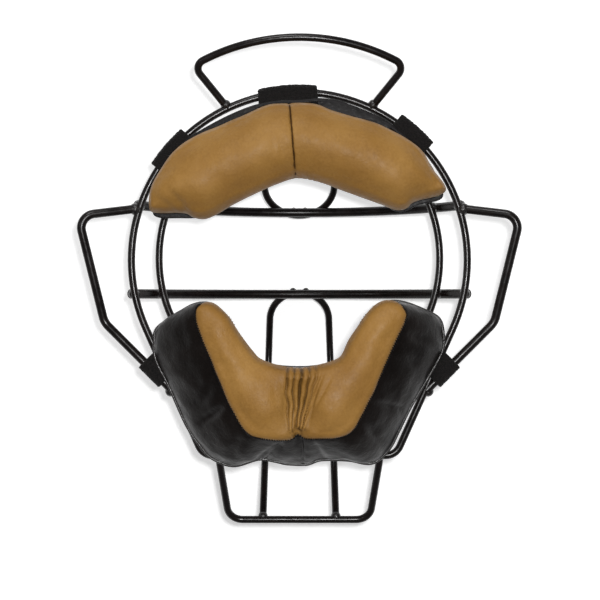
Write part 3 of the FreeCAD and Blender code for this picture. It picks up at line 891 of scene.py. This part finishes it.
def face_depth(rim):
    flat = rim[:, [0, 2]]
    edge = rim[:, 1].min()

    def depth(points):
        away = distance_to(points, flat, np.roll(flat, -1, 0))
        valley = np.exp(-(((points[:, 0] - VALLEY_X) / 12) ** 2))
        swell = 1 - np.exp(-away / 6.5)
        return edge - 4.8 * swell * (1 - valley) + 4.2 * valley * swell

    return depth


def gathers(points):
    """Folds at the middle of the chin pad's face, fanned at the top and drawn together below."""
    down = np.clip((-72 - points[:, 2]) / 40, 0, 1)
    middle = 2.4 - 4.8 * down
    half = 8.6 * (1 - down) ** 0.7 + 3.0
    across = (points[:, 0] - middle) / half
    band = np.exp(-((across / 1.0) ** 6))
    strength = np.sin(math.pi * np.clip(down * 0.72 + 0.24, 0, 1)) ** 0.6
    face = np.clip((-32 - points[:, 1]) / 12, 0, 1)
    wander = rough(points, 8, 6)
    turn = across * math.pi * 2.6 + wander * 1.2 + 0.5
    folds = 0.6 - 1.9 * np.abs(np.cos(turn)) ** 5 * (0.75 + 0.5 * rough(points * [1, 0, 0], 3, 5))
    return band * strength * face * folds * 1.7


def face_relief(points):
    deep = np.clip((CHIN_SEAM + 4 - points[:, 1]) / 6, 0, 1)
    out = 0.75 * rough(points, 24, 7) + 0.3 * rough(points, 9, 8)
    for start, end, width, depth in (
        ((14, -74), (3.4, -102), 0.8, 1.6),
        ((19, -76), (8, -97), 1.1, 0.8),
        ((-8, -76), (-8.6, -92), 1.2, 0.5),
        ((-8.6, -90), (-4.4, -106), 1.1, 0.7),
        ((-15, -78), (-13, -100), 1.8, 0.4),
        ((10, -84), (5.4, -106), 1.0, 0.6),
        ((-2.6, -96), (-1.6, -115), 1.3, 2.4),
        ((-52, -66), (-40, -70), 2.6, 0.45),
        ((-48, -74), (-36, -74), 2.2, 0.35),
        ((-38, -92), (-28, -104), 2.6, 0.5),
        ((28, -98), (34, -90), 3.0, 0.4),
        ((44, -58), (54, -50), 4.0, 0.5),
        ((-58, -42), (-46, -50), 4.0, 0.5),
        ((-24, -100), (-9, -92), 4.5, -0.7),
        ((24, -100), (9, -92), 4.5, -0.7),
    ):
        out += dent(points, start, end, width, depth)
    return out * deep + gathers(points)


def chin_pad(tan, black, vinyl, cord, filling, dark):
    seam, back, inner = chin_curves()
    walls = skin("chin_pad_sides", wall_rings(seam, back, inner))
    raised(walls, wall_relief)
    finished(walls, black, "black_leather", "chin_pad_walls")

    rings = face_rings(seam, inner)
    face = skin("chin_pad_leather", rings, face_depth(rings[-1]), 1.4, None, GATHER_POINTS)
    eased(face, 24, len(rings) * len(seam))
    raised(face, face_relief)
    points = places(face)
    # Painted shade on the tan: darker down the middle valley and in the gathers' folds, lighter on their
    # ridges, and darker along the rim that rolls into the seam.
    outline = distance_to(points[:, [0, 2]], seam, np.roll(seam, -1, 0))
    middle = np.exp(-(((points[:, 0] - VALLEY_X) / 9) ** 2)) * (0.35 - 0.9 * gathers(points))
    rim = 0.35 * np.exp(-outline / 1.2)
    painted_shade(face, middle + rim)
    finished(face, tan, "tan_leather", "chin_pad_face")

    core_seam, core_back = inset(seam, LEATHER + 1), inset(back, LEATHER + 1)
    rings = wall_rings(core_seam, core_back, inner, 3.0)
    core = skin("chin_pad_core", rings, lambda p: np.full(len(p), CHIN_SEAM + 3), 4)
    finished(core, filling, "pad_foam", "chin_pad_foam")

    panel = plate("chin_pad_panel", inset(back, 0.3), PANEL_FRONT, PANEL_REAR, 0.5)
    finished(panel, vinyl, "black_leather", "chin_pad_back")

    line = at_depth(inset(back, -0.7), PANEL_REAR + 0.6)
    points, faces = tube(line, 1.0, closed=True, sides=12)
    finished(mesh_object("chin_pad_welt", points, faces), cord, "piping", "chin_pad_piping")

    chin_stitches(seam, inner, dark)


def chin_stitches(seam, inner, dark):
    """Slanted stitches that bite into the tan leather all along its outer seam."""
    out = outward(seam)
    depth = seam_depth(seam, inner)
    run = np.roll(seam, -1, 0) - seam
    stitches = []
    for i in range(0, len(seam), STITCH_STEP):
        if inner[i] > 0.6:
            continue
        lean = run[i] * 0.5
        start = seam[i] + out[i] * 0.5
        end = seam[i] - out[i] * 0.6 + lean
        stitches.append((
            (start[0], depth[i] - 0.1, start[1]),
            (end[0], depth[i] - 2.6, end[1]),
            (out[i][0] * 0.5, -0.4, out[i][1] * 0.5),
        ))
    finished(threads("chin_pad_stitching", stitches), dark, "black_leather")


# ---------------------------------------------------------------- tabs


class Strap:
    """A hook-and-loop tab that wraps the ring; its place comes from the joint that it folds on."""

    def __init__(self, name, width, wire, reaches, slack=0.0, bow=0.0):
        self.name = name
        self.width = width
        self.depth = wire / 2 + STRAP_GAP + STRAP / 2
        self.fold = self.depth + slack
        self.bow = bow          # how sharply it follows the ring's curve
        self.root, self.over, self.tip = reaches
        joint = [j for j in frame["joints"] if j["name"] == name + "_fold"][0]
        self.pivot, self.along = joint_place(joint)
        self.out = np.cross([0, 1, 0], self.along)
        middle = np.array(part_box(name + "_loop_patch")[0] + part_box(name + "_loop_patch")[1]) / 2 / MM
        if (self.out * (middle - self.pivot)).sum() > 0:
            self.out = -self.out

    def at(self, outward_mm, forward_mm, along_mm):
        """A point given outward and forward from the fold, and along it."""
        spot = self.pivot + self.out * (outward_mm - self.bow * along_mm**2) + self.along * along_mm
        return spot + np.array([0, forward_mm, 0])

    def centreline(self):
        fold, deep = self.fold, self.depth
        resting = self.resting()
        line = [
            (-self.root - fold, -deep - 0.1), (-fold, -deep - 0.25), (-1.3, -deep + 0.1),
            (-0.2, -deep + 1.2), (0, -0.8), (0, 0.8), (-0.2, deep - 1.2), (-1.3, deep - 0.1),
            (-fold, deep), (-self.over - fold + 1.5, deep - 0.2), (-self.over - fold - 2.6, resting + 1.2),
            (-self.over - fold - FLAP_STEP, resting), (-self.tip - fold, resting),
        ]
        return smooth_line(line, 5)

    def build(self, material):
        line = self.centreline()
        run = np.gradient(line, axis=0)
        run /= np.linalg.norm(run, axis=1)[:, None]
        side = np.stack([-run[:, 1], run[:, 0]], 1)
        across = section(self.width, STRAP, 0.7)
        points = []
        for here, normal in zip(line, side):
            for w, t in across:
                spot = here + normal * t
                points.append(self.at(spot[0], spot[1], w))
        count, ring = len(line), len(across)
        faces = [
            (i * ring + k, i * ring + (k + 1) % ring, (i + 1) * ring + (k + 1) % ring, (i + 1) * ring + k)
            for i in range(count - 1)
            for k in range(ring)
        ]
        faces += cap(ring, 0) + cap(ring, (count - 1) * ring)
        made = mesh_object(self.name + "_strap", points, faces)
        raised(made, fuzz)
        made.data.materials.append(material)
        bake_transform(made)
        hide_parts(self.name + "_base", self.name + "_flap")

    def resting(self):
        """How far forward the flap's centreline lies where it rests on the loop fabric."""
        return PANEL_FRONT + PATCH + STRAP_GAP + STRAP / 2

    def patch(self, material):
        """The fuzzy loop fabric on the front of the pad's back panel."""
        low, high = -self.tip - self.fold - 1.0, -self.tip - self.fold + 10.0
        half = self.width / 2 - 0.5
        loop = []
        for a, b in ((low, -half), (high, -half), (high, half), (low, half)):
            spot = self.at(a, 0, b)
            loop.append((spot[0], spot[2]))
        loop = np.array(loop)
        if np.cross(loop[1] - loop[0], loop[2] - loop[1]) > 0:
            loop = loop[::-1]
        loop = evenly(loop, 0.9, [0, 1])
        made = plate(self.name + "_loops", loop, PANEL_FRONT + PATCH, PANEL_FRONT, 0.25)
        raised(made, lambda p: 0.12 * rough(p, 0.9, 12))
        finished(made, material, "loop_fabric", self.name + "_loop_patch")


def section(width, thickness, step):
    """A flat strap's cross-section: width along the first axis, rounded narrow sides."""
    half, t = width / 2, thickness / 2
    top = [(w, t) for w in np.linspace(-half + 0.5, half - 0.5, int(width / step))]
    bottom = [(w, -t) for w in np.linspace(half - 0.5, -half + 0.5, int(width / step))]
    return top + [(half - 0.1, t * 0.5), (half, 0), (half - 0.1, -t * 0.5)] + bottom + [
        (-half + 0.1, -t * 0.5), (-half, 0), (-half + 0.1, t * 0.5)
    ]


def cap(ring, first):
    """Narrow faces that close one end of a strap, from its top edge across to its bottom edge."""
    row = (ring - 6) // 2
    top = [first + i for i in range(row)]
    right = [first + row + i for i in range(3)]
    bottom = [first + 2 * row + 2 - i for i in range(row)]
    left = [first + 2 * row + 3 + i for i in range(3)]
    faces = [(top[i], top[i + 1], bottom[i + 1], bottom[i]) for i in range(row - 1)]
    return faces + [(top[-1], *right, bottom[-1]), (bottom[0], *left, top[0])]


def fuzz(points):
    return np.clip(0.3 * rough(points, 0.9, 10) + 0.22 * rough(points, 2.2, 11), -FUZZ, FUZZ)


def joint_place(joint):
    """A joint's pivot in millimetres and its axis."""
    pivot = np.array(joint["pos_m"], float) / MM
    axis = np.array(joint["axis"], float)
    return pivot, axis / np.linalg.norm(axis)


def tabs(fabric, loops):
    made = [
        Strap("forehead_left_tab", 29.0, RING_WIRE, FOREHEAD_REACH, 1.2, RING_BOW),
        Strap("forehead_centre_tab", 38.0, RING_WIRE, FOREHEAD_REACH, 0.4, RING_BOW),
        Strap("forehead_right_tab", 27.0, RING_WIRE, FOREHEAD_REACH, 2.2, RING_BOW),
        Strap("chin_left_tab", 18.0, EAR_WIRE, CHIN_REACH),
        Strap("chin_right_tab", 18.0, EAR_WIRE, CHIN_REACH),
    ]
    for strap in made:
        strap.build(fabric)
        strap.patch(loops)


# ---------------------------------------------------------------- wires, ground, light, camera


def wires():
    wire, weld = coated_wire(), coated_weld()
    for name in (
        "main_ring", "inner_hoop", "upper_eye_bar", "lower_eye_bar", "top_hoop", "brow_loop",
        "mouth_loop", "left_ear_guard", "right_ear_guard",
    ):
        dress(name, wire)
    dress("weld_beads", weld)


def dress(node, material):
    made = frame["nodes"][node]
    made.data.materials.clear()
    made.data.materials.append(material)


def ground():
    mesh = bpy.data.meshes.new("ground")
    half, y = GROUND_HALF, GROUND * MM
    corners = [(-half, y, -half), (half, y, -half), (half, y, half), (-half, y, half)]
    mesh.from_pydata(corners, [], [(0, 1, 2, 3)])
    made = bpy.data.objects.new("ground", mesh)
    bpy.context.collection.objects.link(made)
    made.data.materials.append(paper())


def softbox(name, place, aim, size, power):
    lamp = bpy.data.lights.new(name, "AREA")
    lamp.shape = "DISK"
    lamp.size = size
    lamp.energy = power
    made = bpy.data.objects.new(name, lamp)
    made.location = place
    made.rotation_euler = (Vector(aim) - Vector(place)).to_track_quat("-Z", "Y").to_euler()
    bpy.context.collection.objects.link(made)


def light():
    world = bpy.data.worlds.new("studio")
    world.use_nodes = True
    world.node_tree.nodes["Background"].inputs["Color"].default_value = (1, 1, 1, 1)
    world.node_tree.nodes["Background"].inputs["Strength"].default_value = WORLD_GLOW
    bpy.context.scene.world = world
    softbox("near_camera", (0.032, -0.7, 0.0), (0.01, 0, -0.02), 0.04, 3.4)
    softbox("overhead", (-0.15, -0.95, 1.05), (0, 0, 0), 0.5, 6.5)
    softbox("left", (-0.9, -1.1, 0.2), (0, 0, 0), 0.3, 1.0)
    softbox("front", (0.3, 1.6, 0.8), (0, 0, 0), 1.0, 14.0)
    bpy.context.scene.view_settings.view_transform = "Standard"


def camera():
    lens = bpy.data.cameras.new("camera")
    lens.sensor_width = SENSOR
    lens.lens = SENSOR * CAMERA_BACK / PICTURE_WIDTH
    made = bpy.data.objects.new("camera", lens)
    made.location = (CAMERA_X * MM, -CAMERA_BACK * MM, CAMERA_Z * MM)
    made.rotation_euler = (math.pi / 2, 0, 0)
    bpy.context.collection.objects.link(made)
    bpy.context.scene.camera = made


def main():
    tan, black, vinyl, filling = tan_leather(), black_leather(), panel_vinyl(), foam()
    wires()
    # The brown cord on the forehead pad's seam is painted shade.
    forehead_pad(tan, vinyl, filling, thread("seam_shade_brown", (46, 28, 10), (74, 47, 20)))
    chin_pad(tan, black, vinyl, welt(), filling, thread("black_thread", (12, 10, 10), (34, 30, 29)))
    tabs(hook_fabric(), loop_fabric())
    ground()
    light()
    camera()


main()
